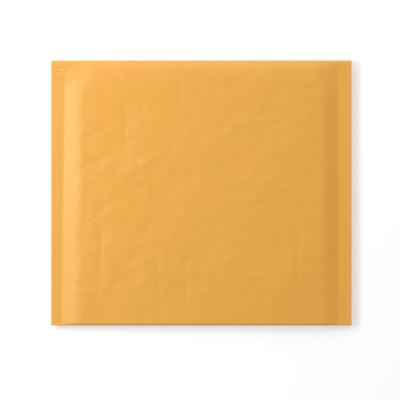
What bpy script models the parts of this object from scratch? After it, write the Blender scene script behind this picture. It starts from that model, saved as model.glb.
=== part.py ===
"""A padded envelope of kraft paper with a bubble-film lining.

It lies on its back, front face up, empty and unsealed, with its flap folded behind it. X runs across
the front, Y from the bottom fold to the top fold, Z is up. The pieces are modelled about the plane of
the side seams and lifted at the end, so that the back rests on Z = 0.
"""

import math
from dataclasses import dataclass

import bmesh
import bpy
import numpy as np

for existing in list(bpy.data.objects):
    bpy.data.objects.remove(existing, do_unlink=True)

# Outer size of the closed pack, and the gap left between pieces that touch
WIDTH = 0.200
HEIGHT = 0.1765
CLEARANCE = 0.0003

# Sheets and strips
PAPER = 0.0003
FILM = 0.0003
ADHESIVE_THICK = 0.0002
LINER_THICK = 0.0002

# Crushed side seams: the left one widens towards the top
SEAM_LEFT_FOOT = 0.0070
SEAM_LEFT_HEAD = 0.0090
SEAM_RIGHT = 0.0090

# How far the walls swell from the seam plane, and over what length they get there
FRONT_SWELL = 0.0024
FRONT_CROWN = 0.0012
BACK_SWELL = 0.0044
SHUT_SWELL = 0.0004
LEFT_RUN = 0.0140
RIGHT_RUN = 0.0110
HEAD_RUN = 0.0120
FOOT_RUN = 0.0022

# Form of the front's upper corners: 2 is a quarter round, more is squarer
LEFT_CORNER = 2.0
RIGHT_CORNER = 7.0

# Top fold, mouth and flap
FOLD_RADIUS = 0.0015
MOUTH_DROP = 0.0025
FLAP_LENGTH = 0.0500
FLAP_TAPER = 0.0020
STEP_GAP = 0.0020
STEP_RUN = 0.0120

# Glue line and the strip that covers it, measured from the flap's free edge
ADHESIVE_EDGE = 0.0050
ADHESIVE_WIDTH = 0.0120
LINER_OVERHANG = 0.0020
STRIP_INSET = 0.0040

# Bubble film: the pocket between its two leaves, how far that lies below the seam plane, its margins,
# and its bubbles, which rise steeply over the flank to a level that is a share of their height, and
# round over to a flat crown
POCKET = 0.0006
FILM_DROP = 0.0004
LINING_SIDE = 0.0060
LINING_HEAD = 0.0100
LINING_FOOT = 0.0005
BUBBLES_ACROSS = 12
BUBBLE_FLANK = 0.0010
BUBBLE_ROUND = 0.0020
FLANK_LEVEL = 0.65
LEAST_BUBBLE = 0.0004

# Waves of the front face: (rise, length along X, length along Y, phase)
WAVES = (
    (0.00013, 0.083, 0.140, 0.6),
    (0.00009, 0.047, -0.095, 2.1),
    (0.00007, -0.120, 0.061, 4.0),
)

# Colours, linear, and roughness
KRAFT_COLOUR = (0.800, 0.385, 0.068)
KRAFT_ROUGHNESS = 0.50
FILM_COLOUR = (0.800, 0.835, 0.850)
FILM_ROUGHNESS = 0.25
ADHESIVE_COLOUR = (0.780, 0.700, 0.480)
ADHESIVE_ROUGHNESS = 0.35
LINER_COLOUR = (0.870, 0.865, 0.820)
LINER_ROUGHNESS = 0.30

# Mesh making: the distance under which corners count as one, how near to whole a whole cell is,
# and the angle from which an edge is sharp
MERGE = 0.00001
WHOLE_CELL = 0.001
SHARP_ANGLE = math.radians(50)

# Mesh steps
SEAM_SHARES = (0.0, 0.5)
SHOULDER_SHARES = (0.0, 0.25, 0.5, 0.75, 1.0)
FACE_STEPS = 10
FOOT_STEPS = 4
LOWER_STEPS = 7
STEP_STEPS = 3
UPPER_STEPS = 3
HEAD_STEPS = 4
FOLD_STEPS = 6

# Sizes that follow from the ones above
STACK = 3 * CLEARANCE + ADHESIVE_THICK + LINER_THICK
SEAM_PLANE = PAPER + BACK_SWELL
FOOT = -HEIGHT / 2
HEAD = HEIGHT / 2
MOUTH = HEAD - MOUTH_DROP
FOLD_START = HEAD - FOLD_RADIUS
FLAP_EDGE = HEAD - FLAP_LENGTH
STEP_HEAD = FLAP_EDGE - STEP_GAP
LINING_WIDTH = WIDTH - 2 * (max(SEAM_LEFT_HEAD, SEAM_RIGHT) + LINING_SIDE)
BUBBLE_PITCH = LINING_WIDTH / (BUBBLES_ACROSS + 0.5)
BEND_CENTRE = FOOT + PAPER + LINING_FOOT + FILM + POCKET / 2
HALF_BEND = math.pi / 2 * (POCKET + FILM) / 2
LEAF_LENGTH = MOUTH - LINING_HEAD - BEND_CENTRE


def shoulder(share):
    """Rise of a padded wall from its edge: a straight ramp that rounds over into the flat."""
    share = min(max(share, 0.0), 1.0)
    if share < 0.5:
        return share * 4 / 3
    return 1 - (1 - share) ** 2 * 4 / 3


def smooth(share):
    """An S-shaped step from 0 to 1."""
    share = min(max(share, 0.0), 1.0)
    return share * share * (3 - 2 * share)


def head_share(y):
    """How far y is below the mouth, as a share of the length over which the walls close there."""
    return min(max((MOUTH - y) / HEAD_RUN, 0.0), 1.0)


def front_swell(side, x, y):
    """How far the front wall stands from the seam plane, at that share of a shoulder's run."""
    power = LEFT_CORNER if x < 0 else RIGHT_CORNER
    both = 1 - ((1 - side) ** power + (1 - head_share(y)) ** power) ** (1 / power)
    crown = FRONT_CROWN * (1 - (2 * x / WIDTH) ** 2) * max(1 - (2 * y / HEIGHT) ** 2, 0.0)
    closed = (SHUT_SWELL + wave(x, y)) * shoulder(side)
    return closed + (FRONT_SWELL - SHUT_SWELL + crown) * shoulder(both)


def back_swell(y):
    """How far the back wall stands from the seam plane at y: pressed in where the flap lies on it."""
    pressed = smooth((y - STEP_HEAD + STEP_RUN) / STEP_RUN)
    full = BACK_SWELL - pressed * (STACK + PAPER)
    return SHUT_SWELL + (full - SHUT_SWELL) * shoulder(head_share(y))


def flap_depth(y):
    """Distance of the flap's inner face below the seam plane: it spans the back wall, level across X."""
    return PAPER + back_swell(y) + STACK


def wave(x, y):
    """The slow waves that the padding leaves in the front face."""
    return sum(
        rise * math.sin(2 * math.pi * (x / across + y / along) + phase)
        for rise, across, along, phase in WAVES
    )


def spread(start, end, steps):
    """Evenly spaced values after the start, up to and with the end."""
    return [start + (end - start) * step / steps for step in range(1, steps + 1)]


def column_positions(y):
    """The X of each column of the paper at y: seam, shoulder, face, shoulder, seam."""
    share = min((y - FOOT) / HEIGHT, 1.0)
    left = -WIDTH / 2 + SEAM_LEFT_FOOT + share * (SEAM_LEFT_HEAD - SEAM_LEFT_FOOT)
    right = WIDTH / 2 - SEAM_RIGHT
    face_left = left + LEFT_RUN
    face_right = right - RIGHT_RUN
    columns = [-WIDTH / 2 + (left + WIDTH / 2) * part for part in SEAM_SHARES]
    columns += [left + LEFT_RUN * part for part in SHOULDER_SHARES]
    columns += spread(face_left, face_right, FACE_STEPS)[:-1]
    columns += [right - RIGHT_RUN * part for part in reversed(SHOULDER_SHARES)]
    columns += [WIDTH / 2 - SEAM_RIGHT * part for part in reversed(SEAM_SHARES)]
    return columns


def column_shares():
    """How far along its shoulder's run each column is: 0 in the seams, 1 on the face."""
    ramp = list(SHOULDER_SHARES)
    flat = [0.0] * len(SEAM_SHARES)
    return flat + ramp + [1.0] * (FACE_STEPS - 1) + ramp[::-1] + flat


SHARES = column_shares()
LEFT_SEAM = len(SEAM_SHARES)
RIGHT_SEAM = len(SHARES) - 1 - LEFT_SEAM


@dataclass(frozen=True)
class Row:
    """A row of the padded walls: where its outer and inner faces lie, and its share of their height."""

    y_outer: float
    y_inner: float
    arc: float

    def outer_front(self, column):
        x = column_positions(self.y_outer)[column]
        z = PAPER + front_swell(SHARES[column], x, self.y_outer)
        return (x, self.y_outer, z * self.arc)

    def outer_back(self, column):
        x = column_positions(self.y_outer)[column]
        z = PAPER + shoulder(SHARES[column]) * back_swell(self.y_outer)
        return (x, self.y_outer, -z * self.arc)

    def inner_front(self, column):
        x = column_positions(self.y_inner)[column]
        return (x, self.y_inner, front_swell(SHARES[column], x, self.y_inner) * self.arc)

    def inner_back(self, column):
        x = column_positions(self.y_inner)[column]
        return (x, self.y_inner, -shoulder(SHARES[column]) * back_swell(self.y_inner) * self.arc)


def padded_rows():
    """The rows from the bottom fold up to the mouth, and the start of the top fold after them."""
    rows = []
    for step in range(FOOT_STEPS + 1):
        turn = math.pi / 2 * step / FOOT_STEPS
        y_outer = FOOT + FOOT_RUN * (1 - math.cos(turn))
        y_inner = FOOT + PAPER + (FOOT_RUN - PAPER) * (1 - math.cos(turn))
        rows.append(Row(y_outer, y_inner, math.sin(turn)))
    levels = spread(FOOT + FOOT_RUN, STEP_HEAD - STEP_RUN, LOWER_STEPS)
    levels += spread(STEP_HEAD - STEP_RUN, STEP_HEAD, STEP_STEPS)
    levels += spread(STEP_HEAD, MOUTH - HEAD_RUN, UPPER_STEPS)
    levels += spread(MOUTH - HEAD_RUN, MOUTH, HEAD_STEPS)
    levels.append(FOLD_START)
    rows += [Row(y, y, 1.0) for y in levels]
    return rows


ROWS = padded_rows()
MOUTH_ROW = len(ROWS) - 2


class SheetMesh:
    """Collects the corners and faces of a folded sheet."""

    def __init__(self):
        self.corners = []
        self.faces = []

    def line(self, points):
        """Adds a line of corners and returns their numbers."""
        first = len(self.corners)
        self.corners.extend(points)
        return list(range(first, len(self.corners)))

    def strip(self, lower, upper):
        """Faces between two lines of corners, which face up when X runs along them and Y across."""
        for column in range(len(lower) - 1):
            ring = (lower[column], lower[column + 1], upper[column + 1], upper[column])
            self.face(ring)

    def face(self, ring):
        """A face, with a corner that is named twice running used once."""
        kept = [corner for at, corner in enumerate(ring) if corner != ring[at - 1]]
        if len(kept) > 2:
            self.faces.append(kept)

    def build(self, name):
        """Makes the object."""
        mesh = bpy.data.meshes.new(name)
        mesh.from_pydata([(x, y, z + SEAM_PLANE) for x, y, z in self.corners], [], self.faces)
        sheet = bpy.data.objects.new(name, mesh)
        bpy.context.scene.collection.objects.link(sheet)
        return sheet


def fold_lines():
    """Outer and inner points of the flap, row by row, from the top fold to its free edge."""
    columns = range(len(SHARES))
    start = ROWS[-1]
    depth = flap_depth(FOLD_START)
    outer, inner = [], []
    for step in range(1, FOLD_STEPS):
        turn = math.pi * step / FOLD_STEPS
        out_line, in_line = [], []
        for column in columns:
            x, _, z_out = start.outer_front(column)
            z_in = start.inner_front(column)[2]
            y_out = FOLD_START + FOLD_RADIUS * math.sin(turn)
            y_in = FOLD_START + (FOLD_RADIUS - PAPER) * math.sin(turn)
            share = (1 - math.cos(turn)) / 2
            out_line.append((x, y_out, z_out - share * (z_out + depth + PAPER)))
            in_line.append((x, y_in, z_in - share * (z_in + depth)))
        outer.append(out_line)
        inner.append(in_line)
    levels = [FOLD_START]
    levels += [row.y_outer for row in reversed(ROWS) if FLAP_EDGE < row.y_outer <= MOUTH]
    levels.append(FLAP_EDGE)
    for y in levels:
        taper = FLAP_TAPER * (FOLD_START - y) / (FOLD_START - FLAP_EDGE)
        narrow = 1 - taper / (WIDTH / 2)
        across = [start.outer_front(column)[0] * narrow for column in columns]
        outer.append([(x, y, -flap_depth(y) - PAPER) for x in across])
        inner.append([(x, y, -flap_depth(y)) for x in across])
    return outer, inner


def kraft_cover():
    """One sheet of kraft: back wall, bottom fold, front wall, top fold and flap, joined at its side seams."""
    sheet = SheetMesh()
    columns = range(len(SHARES))
    pocket = range(LEFT_SEAM, RIGHT_SEAM + 1)
    padded = ROWS[:MOUTH_ROW + 1]

    outer_front = [sheet.line([row.outer_front(column) for column in columns]) for row in ROWS]
    outer_back = [outer_front[0]]
    outer_back += [sheet.line([row.outer_back(column) for column in columns]) for row in padded[1:]]

    inner_front = [sheet.line([row.inner_front(column) for column in pocket]) for row in ROWS[:MOUTH_ROW]]
    inner_front += [sheet.line([row.inner_front(column) for column in columns]) for row in ROWS[MOUTH_ROW:]]
    mouth_front = inner_front[MOUTH_ROW]
    inner_front_mouth = mouth_front[LEFT_SEAM:RIGHT_SEAM + 1]

    inner_back = [inner_front[0]]
    for number, row in enumerate(padded[1:], 1):
        middle = sheet.line([row.inner_back(column) for column in list(pocket)[1:-1]])
        front = inner_front_mouth if number == MOUTH_ROW else inner_front[number]
        inner_back.append([front[0]] + middle + [front[-1]])

    for lower, upper in zip(outer_front, outer_front[1:]):
        sheet.strip(lower, upper)
    for lower, upper in zip(outer_back, outer_back[1:]):
        sheet.strip(upper, lower)
    front_lines = inner_front[:MOUTH_ROW] + [inner_front_mouth]
    for lower, upper in zip(front_lines, front_lines[1:]):
        sheet.strip(upper, lower)
    for lower, upper in zip(inner_back, inner_back[1:]):
        sheet.strip(lower, upper)
    sheet.strip(inner_front[-1], mouth_front)

    lip = mouth_front[:LEFT_SEAM] + inner_back[-1] + mouth_front[RIGHT_SEAM + 1:]
    sheet.strip(lip, outer_back[-1])

    outer_lines, inner_lines = fold_lines()
    flap_outer = [outer_front[-1]] + [sheet.line(points) for points in outer_lines]
    flap_inner = [inner_front[-1]] + [sheet.line(points) for points in inner_lines]
    for lower, upper in zip(flap_outer, flap_outer[1:]):
        sheet.strip(lower, upper)
    for lower, upper in zip(flap_inner, flap_inner[1:]):
        sheet.strip(upper, lower)
    sheet.strip(flap_outer[-1], flap_inner[-1])

    paper_out = outer_front[MOUTH_ROW:] + flap_outer[1:]
    paper_in = inner_front[MOUTH_ROW:] + flap_inner[1:]
    for end, turned in ((0, False), (-1, True)):
        rings = []
        for row in range(MOUTH_ROW):
            ring = [outer_front[row][end], outer_front[row + 1][end]]
            if row + 1 == MOUTH_ROW:
                ring.append(mouth_front[end])
            rings.append(ring + [outer_back[row + 1][end], outer_back[row][end]])
        for row in range(len(paper_out) - 1):
            ring = [paper_out[row][end], paper_out[row + 1][end]]
            rings.append(ring + [paper_in[row + 1][end], paper_in[row][end]])
        for ring in rings:
            sheet.face(ring[::-1] if turned else ring)
    return sheet.build("kraft_cover")


def cavity(x, y, front):
    """Distance from the seam plane to the paper's inner face, the lower over a cell's two diagonals."""
    levels = [row.y_inner for row in ROWS]
    row = int(np.clip(np.searchsorted(levels, y) - 1, 0, len(levels) - 2))
    along = (y - levels[row]) / (levels[row + 1] - levels[row])
    across_x = column_positions(y)
    column = int(np.clip(np.searchsorted(across_x, x) - 1, 0, len(across_x) - 2))
    across = (x - across_x[column]) / (across_x[column + 1] - across_x[column])
    heights = []
    for step in (0, 1):
        for side in (0, 1):
            line = ROWS[row + step]
            point = line.inner_front(column + side) if front else line.inner_back(column + side)
            heights.append(abs(point[2]))
    near, near_right, far, far_right = heights
    if across > along:
        rising = near + across * (near_right - near) + along * (far_right - near_right)
    else:
        rising = near + along * (far - near) + across * (far_right - far)
    if across + along < 1:
        falling = near + across * (near_right - near) + along * (far - near)
    else:
        falling = far_right + (1 - across) * (far - far_right) + (1 - along) * (near_right - far_right)
    return min(rising, falling)


def cut(film, s=None, x=None, keep=0):
    """Cuts the flat film along a line, and drops what lies past it unless keep is 0."""
    place = (x or 0.0, s or 0.0, 0.0)
    normal = (1.0, 0.0, 0.0) if x is not None else (0.0, 1.0, 0.0)
    bmesh.ops.bisect_plane(
        film,
        geom=film.verts[:] + film.edges[:] + film.faces[:],
        dist=MERGE / 10,
        plane_co=place,
        plane_no=normal,
        clear_outer=keep < 0,
        clear_inner=keep > 0,
    )


def flat_film():
    """The film laid flat, divided into the hexagons of its bubbles: X across, Y along, 0 at the fold."""
    film = bmesh.new()
    radius = BUBBLE_PITCH / math.sqrt(3)
    length = HALF_BEND + LEAF_LENGTH
    row_pitch = BUBBLE_PITCH * math.sqrt(3) / 2
    most = int(length / row_pitch) + 2
    for row in range(-most, most + 1):
        for number in range(-1, BUBBLES_ACROSS + 2):
            offset = 0.5 if row % 2 == 0 else 1.0
            x = -LINING_WIDTH / 2 + BUBBLE_PITCH * (number + offset)
            corners = []
            for corner in range(6):
                turn = math.radians(60 * corner + 30)
                place = (x + radius * math.cos(turn), row * row_pitch + radius * math.sin(turn), 0.0)
                corners.append(film.verts.new(place))
            film.faces.new(corners)
    bmesh.ops.remove_doubles(film, verts=film.verts[:], dist=MERGE)
    cut(film, x=-LINING_WIDTH / 2, keep=1)
    cut(film, x=LINING_WIDTH / 2, keep=-1)
    cut(film, s=-length, keep=1)
    cut(film, s=length, keep=-1)
    for share in (-1.0, -0.5, 0.0, 0.5, 1.0):
        cut(film, s=share * HALF_BEND)
    return film


def leaf_place(s):
    """The Y that a line of the flat film has once it is folded, away from the bend."""
    return BEND_CENTRE + abs(s) - HALF_BEND


def clear_room(ring):
    """The least room over a ring of corners, from the film's outer face to the paper."""
    room = []
    for corner in ring:
        front = corner.co.y > 0
        drop = FILM_DROP if front else -FILM_DROP
        room.append(cavity(corner.co.x, leaf_place(corner.co.y), front) + drop)
    return min(room) - CLEARANCE - POCKET / 2 - FILM


def folded(corner):
    """The place of a point of the flat film, once the film is bent round into two leaves."""
    x, s, height = corner
    radius = POCKET / 2 + height
    level = SEAM_PLANE - FILM_DROP
    if abs(s) >= HALF_BEND:
        return (x, leaf_place(s), math.copysign(radius, s) + level)
    turn = math.pi / 2 * s / HALF_BEND
    return (x, BEND_CENTRE - radius * math.cos(turn), radius * math.sin(turn) + level)


def bubble_lining():
    """The bubble film: bubbles raised on the flat sheet to the room each one has, then folded double."""
    film = flat_film()
    whole = BUBBLE_PITCH**2 * math.sqrt(3) / 2
    thickened = bmesh.ops.extrude_face_region(film, geom=film.faces[:], use_keep_orig=True)
    raised = thickened["geom"]
    for vert in [item for item in raised if isinstance(item, bmesh.types.BMVert)]:
        vert.co.z = FILM
    bmesh.ops.recalc_face_normals(film, faces=film.faces[:])
    top = [item for item in raised if isinstance(item, bmesh.types.BMFace)]
    cells = [cell for cell in top if abs(cell.calc_area() / whole - 1) < WHOLE_CELL]
    bmesh.ops.inset_individual(film, faces=cells, thickness=BUBBLE_FLANK, use_even_offset=True)
    flanks = [list(cell.verts) for cell in cells]
    bmesh.ops.inset_individual(film, faces=cells, thickness=BUBBLE_ROUND, use_even_offset=True)
    for flank, crown in zip(flanks, cells):
        rise = min(clear_room(crown.verts), clear_room(flank) / FLANK_LEVEL)
        if rise > LEAST_BUBBLE:
            for corner in flank:
                corner.co.z = FILM + FLANK_LEVEL * rise
            for corner in crown.verts:
                corner.co.z = FILM + rise
    for vert in film.verts:
        vert.co = folded(vert.co)
    mesh = bpy.data.meshes.new("bubble_lining")
    film.to_mesh(mesh)
    film.free()
    lining = bpy.data.objects.new("bubble_lining", mesh)
    bpy.context.scene.collection.objects.link(lining)
    return lining


def flap_strip(name, edge, width, above, thick):
    """A flat strip on the flap's inner face, so far above it and so far from its free edge."""
    low = SEAM_PLANE - flap_depth(FLAP_EDGE + edge) + above
    half = WIDTH / 2 - STRIP_INSET
    strip = bmesh.new()
    bmesh.ops.create_cube(strip, size=1.0)
    for vert in strip.verts:
        x = 2 * half * vert.co.x
        y = FLAP_EDGE + edge + width * (vert.co.y + 0.5)
        z = low + thick * (vert.co.z + 0.5)
        vert.co = (x, y, z)
    mesh = bpy.data.meshes.new(name)
    strip.to_mesh(mesh)
    strip.free()
    piece = bpy.data.objects.new(name, mesh)
    bpy.context.scene.collection.objects.link(piece)
    return piece


def finish(piece, slot, colour, roughness):
    """Gives a piece its own material, and shades its rounded faces smooth."""
    material = bpy.data.materials.new(slot)
    material.use_nodes = True
    shader = material.node_tree.nodes["Principled BSDF"]
    shader.inputs["Base Color"].default_value = (*colour, 1.0)
    shader.inputs["Roughness"].default_value = roughness
    shader.inputs["Metallic"].default_value = 0.0
    piece.data.materials.append(material)
    piece.data.shade_smooth()
    piece.data.set_sharp_from_angle(angle=SHARP_ANGLE)


cover = kraft_cover()
finish(cover, "kraft_paper", KRAFT_COLOUR, KRAFT_ROUGHNESS)

lining = bubble_lining()
finish(lining, "bubble_film", FILM_COLOUR, FILM_ROUGHNESS)

glue = flap_strip("adhesive_strip", ADHESIVE_EDGE, ADHESIVE_WIDTH, CLEARANCE, ADHESIVE_THICK)
finish(glue, "glue", ADHESIVE_COLOUR, ADHESIVE_ROUGHNESS)

release = flap_strip(
    "release_liner",
    ADHESIVE_EDGE - LINER_OVERHANG,
    ADHESIVE_WIDTH + 2 * LINER_OVERHANG,
    2 * CLEARANCE + ADHESIVE_THICK,
    LINER_THICK,
)
finish(release, "release_paper", LINER_COLOUR, LINER_ROUGHNESS)
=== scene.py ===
"""Looks of a kraft padded envelope: its paper, its bubble film, its glue line and its peel strip.

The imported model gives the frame. Each of its four solids is replaced by a finer piece in the same
place, with the paper's soft creases and crushed seams, and each piece gets its own finish. Sizes are
in metres, apart from the rows of creases and dimples, which are in millimetres.
"""

from __future__ import annotations

import logging
import math
from dataclasses import dataclass, field
from enum import Enum
from typing import Any, Mapping, Sequence

import bmesh
import bpy
import numpy as np
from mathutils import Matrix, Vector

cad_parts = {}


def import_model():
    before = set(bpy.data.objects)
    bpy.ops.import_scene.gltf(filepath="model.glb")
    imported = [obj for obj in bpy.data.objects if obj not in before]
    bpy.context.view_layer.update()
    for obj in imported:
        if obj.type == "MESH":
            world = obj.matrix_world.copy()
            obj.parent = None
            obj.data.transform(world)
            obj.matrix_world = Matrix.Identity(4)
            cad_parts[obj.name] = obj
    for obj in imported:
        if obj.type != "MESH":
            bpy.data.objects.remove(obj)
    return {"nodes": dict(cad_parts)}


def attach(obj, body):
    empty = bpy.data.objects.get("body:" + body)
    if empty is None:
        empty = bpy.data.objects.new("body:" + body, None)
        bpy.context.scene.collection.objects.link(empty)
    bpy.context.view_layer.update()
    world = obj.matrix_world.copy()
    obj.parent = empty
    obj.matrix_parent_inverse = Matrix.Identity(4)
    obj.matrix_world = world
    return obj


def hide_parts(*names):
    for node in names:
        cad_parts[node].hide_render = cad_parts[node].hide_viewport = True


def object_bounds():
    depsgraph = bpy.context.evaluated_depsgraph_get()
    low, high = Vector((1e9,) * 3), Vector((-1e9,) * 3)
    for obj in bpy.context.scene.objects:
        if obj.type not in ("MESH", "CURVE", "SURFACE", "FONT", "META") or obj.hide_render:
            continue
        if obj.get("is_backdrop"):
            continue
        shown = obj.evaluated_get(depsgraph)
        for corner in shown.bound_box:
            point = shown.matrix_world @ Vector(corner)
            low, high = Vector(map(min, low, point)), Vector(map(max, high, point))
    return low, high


LOG = logging.getLogger("padded_envelope")

MM = 0.001
SHARP_ANGLE = math.radians(48)

Colour = tuple[float, float, float]
Point2 = tuple[float, float]
Point3 = tuple[float, float, float]
Rows = Sequence[Sequence[float]]


# Shader tools


class Signal:
    """A number that varies over a surface. Arithmetic on it adds Math nodes."""

    def __init__(self, graph: NodeGraph, socket: bpy.types.NodeSocket) -> None:
        """Wraps a node's output socket."""
        self.graph = graph
        self.socket = socket

    def __add__(self, other: Signal | float) -> Signal:
        """This value plus another."""
        return self.graph.math("ADD", self, other)

    def __radd__(self, other: Signal | float) -> Signal:
        """Another value plus this one."""
        return self.graph.math("ADD", other, self)

    def __sub__(self, other: Signal | float) -> Signal:
        """This value less another."""
        return self.graph.math("SUBTRACT", self, other)

    def __rsub__(self, other: Signal | float) -> Signal:
        """Another value less this one."""
        return self.graph.math("SUBTRACT", other, self)

    def __mul__(self, other: Signal | float) -> Signal:
        """This value times another."""
        return self.graph.math("MULTIPLY", self, other)

    def __rmul__(self, other: Signal | float) -> Signal:
        """Another value times this one."""
        return self.graph.math("MULTIPLY", other, self)

    def clamped(self) -> Signal:
        """This value kept between 0 and 1."""
        return self.graph.math("MINIMUM", self.graph.math("MAXIMUM", self, 0.0), 1.0)


def total(signals: Sequence[Signal], shares: Sequence[float]) -> Signal:
    """Adds up signals, each times its share."""
    return sum(signal * share for signal, share in zip(signals, shares))


class NodeGraph:
    """Adds nodes to one node tree."""

    def __init__(self, tree: bpy.types.NodeTree) -> None:
        """Takes a tree and empties it."""
        self.tree = tree
        tree.nodes.clear()

    def node(
        self, kind: str, sockets: Mapping[str | int, Any] | None = None, **settings: Any
    ) -> bpy.types.Node:
        """Adds a node.

        Args:
            kind: The node's type.
            sockets: Values or links for its inputs, by name or number.
            **settings: Its own properties, which are set first.

        Returns:
            The node.
        """
        node = self.tree.nodes.new(kind)
        for key, value in settings.items():
            setattr(node, key, value)
        for key, value in (sockets or {}).items():
            self.feed(node.inputs[key], value)
        return node

    def feed(self, socket: bpy.types.NodeSocket, value: Any) -> None:
        """Links a value to a socket, or writes it there.

        Args:
            socket: The input.
            value: A signal, an output socket, or a plain value.
        """
        if isinstance(value, Signal):
            value = value.socket
        if isinstance(value, bpy.types.NodeSocket):
            self.tree.links.new(value, socket)
        else:
            socket.default_value = value

    def math(self, operation: str, *operands: Any) -> Signal:
        """A Math node on values, as a value."""
        node = self.node("ShaderNodeMath", dict(enumerate(operands)), operation=operation)
        return Signal(self, node.outputs[0])

    def seen(self) -> Signal:
        """Where the camera looks, straight or by way of a mirror or a clear film.

        Returns:
            1 where it looks, otherwise 0.
        """
        path = self.node("ShaderNodeLightPath").outputs
        rays = ("Is Camera Ray", "Is Glossy Ray", "Is Transmission Ray")
        straight, mirrored, through = (Signal(self, path[ray]) for ray in rays)
        return (straight + mirrored + through).clamped()


class ShaderGraph(NodeGraph):
    """Builds the nodes of one material."""

    def __init__(self, name: str) -> None:
        """Makes an empty material.

        Args:
            name: Its name.
        """
        self.material = bpy.data.materials.new(name)
        self.material.use_nodes = True
        super().__init__(self.material.node_tree)

    def place(self, scale: Sequence[float], turn: float) -> bpy.types.NodeSocket:
        """Object coordinates, turned about Z and then scaled.

        Args:
            scale: Repeats for each metre along X, Y and Z.
            turn: Angle in radians.

        Returns:
            The vector socket.
        """
        place = self.node("ShaderNodeTexCoord").outputs["Object"]
        for key, value in (("Rotation", (0.0, 0.0, turn)), ("Scale", scale)):
            place = self.node("ShaderNodeMapping", {"Vector": place, key: value}).outputs["Vector"]
        return place

    def noise(
        self,
        scale: Sequence[float],
        detail: float = 2.0,
        rough: float = 0.5,
        turn: float = 0.0,
        warp: float = 0.0,
    ) -> Signal:
        """Smooth noise from about 0 to 1.

        Args:
            scale: Repeats for each metre along X, Y and Z.
            detail: Octaves.
            rough: How strong the finer octaves are.
            turn: Turn of the pattern about Z, in radians.
            warp: How far the pattern is distorted.

        Returns:
            The noise value.
        """
        sockets = {
            "Vector": self.place(scale, turn),
            "Scale": 1.0,
            "Detail": detail,
            "Roughness": rough,
            "Distortion": warp,
        }
        node = self.node("ShaderNodeTexNoise", sockets, noise_dimensions="3D")
        return Signal(self, node.outputs["Fac"])

    def attribute(self, name: str) -> Signal:
        """A number stored on the mesh."""
        return Signal(self, self.node("ShaderNodeAttribute", attribute_name=name).outputs["Fac"])

    def blend(self, share: Signal, first: Any, second: Colour) -> bpy.types.NodeSocket:
        """Mixes two colours.

        Args:
            share: How much of the second there is, from 0 to 1.
            first: Colour or socket.
            second: Colour.

        Returns:
            The colour socket.
        """
        start = (*first, 1.0) if isinstance(first, tuple) else first
        node = self.node("ShaderNodeMix", data_type="RGBA")
        colours = [socket for socket in node.inputs if socket.type == "RGBA"]
        for socket, value in zip((node.inputs[0], *colours), (share, start, (*second, 1.0))):
            self.feed(socket, value)
        return next(socket for socket in node.outputs if socket.type == "RGBA")

    def finish(
        self, colour: bpy.types.NodeSocket, rough: Signal, grain: Signal, depth: float, press: float
    ) -> bpy.types.Material:
        """Ends the material in a Principled shader that isn't metal.

        Args:
            colour: Its base colour.
            rough: Its roughness.
            grain: Height of its fine grain, of which 1 stands for the depth.
            depth: In metres.
            press: Strength of the grain, from 0 to 1.

        Returns:
            The material.
        """
        bump = self.node("ShaderNodeBump", {"Height": grain, "Distance": depth, "Strength": press})
        sockets = {"Base Color": colour, "Roughness": rough, "Metallic": 0.0}
        sockets["Normal"] = bump.outputs["Normal"]
        return self.close(self.node("ShaderNodeBsdfPrincipled", sockets))

    def close(self, shader: bpy.types.Node) -> bpy.types.Material:
        """Puts a shader on the surface, and returns the material."""
        self.node("ShaderNodeOutputMaterial", {"Surface": shader.outputs[0]})
        return self.material


# Finishes


@dataclass(frozen=True)
class KraftFinish:
    """Gold kraft paper: a faint cloudiness, fibres along the web, rubbed creases, satin sheen."""

    base: Colour = (0.815, 0.378, 0.050)
    light: Colour = (0.848, 0.406, 0.064)
    dark: Colour = (0.770, 0.348, 0.040)
    rubbed: Colour = (0.862, 0.452, 0.092)
    clouds: Point3 = (22.0, 26.0, 20.0)
    mottles: Point3 = (210.0, 260.0, 200.0)
    fibres: Point3 = (260.0, 2300.0, 900.0)
    cross_fibres: Point3 = (1500.0, 420.0, 900.0)
    tone_shares: Sequence[float] = (0.45, 0.30, 0.40, 0.25)
    tone_depth: float = 0.55
    rub_least: float = 0.45
    rub_mottle: float = 0.5
    rub_depth: float = 0.65
    roughness: float = 0.41
    rough_shares: Sequence[float] = (0.12, 0.08, 0.1)
    grain_shares: Sequence[float] = (0.3, 0.2, 0.5)
    grain_depth: float = 0.00022
    grain_press: float = 0.5

    def build(self) -> bpy.types.Material:
        """Makes the paper's material.

        Returns:
            The material.
        """
        graph = ShaderGraph("kraft_paper")
        cloud = graph.noise(self.clouds, detail=3.0, rough=0.55) - 0.5
        mottle = graph.noise(self.mottles, detail=3.0, rough=0.6)
        fibre = graph.noise(self.fibres, detail=3.0, rough=0.65, turn=0.03, warp=0.4)
        cross = graph.noise(self.cross_fibres, detail=2.0, rough=0.6, turn=-0.25, warp=0.6)
        tone = total((cloud, mottle - 0.5, fibre - 0.5, cross - 0.5), self.tone_shares)
        colour = graph.blend((tone * self.tone_depth).clamped(), self.base, self.light)
        colour = graph.blend((tone * -self.tone_depth).clamped(), colour, self.dark)
        worn = graph.attribute("crease") * (self.rub_least + mottle * self.rub_mottle)
        rub = worn.clamped() * self.rub_depth
        colour = graph.blend(rub, colour, self.rubbed)
        rough = self.roughness + total((fibre - 0.5, mottle - 0.5, rub), self.rough_shares)
        grain = total((fibre, cross, mottle), self.grain_shares)
        return graph.finish(colour, rough, grain, self.grain_depth, self.grain_press)


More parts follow.
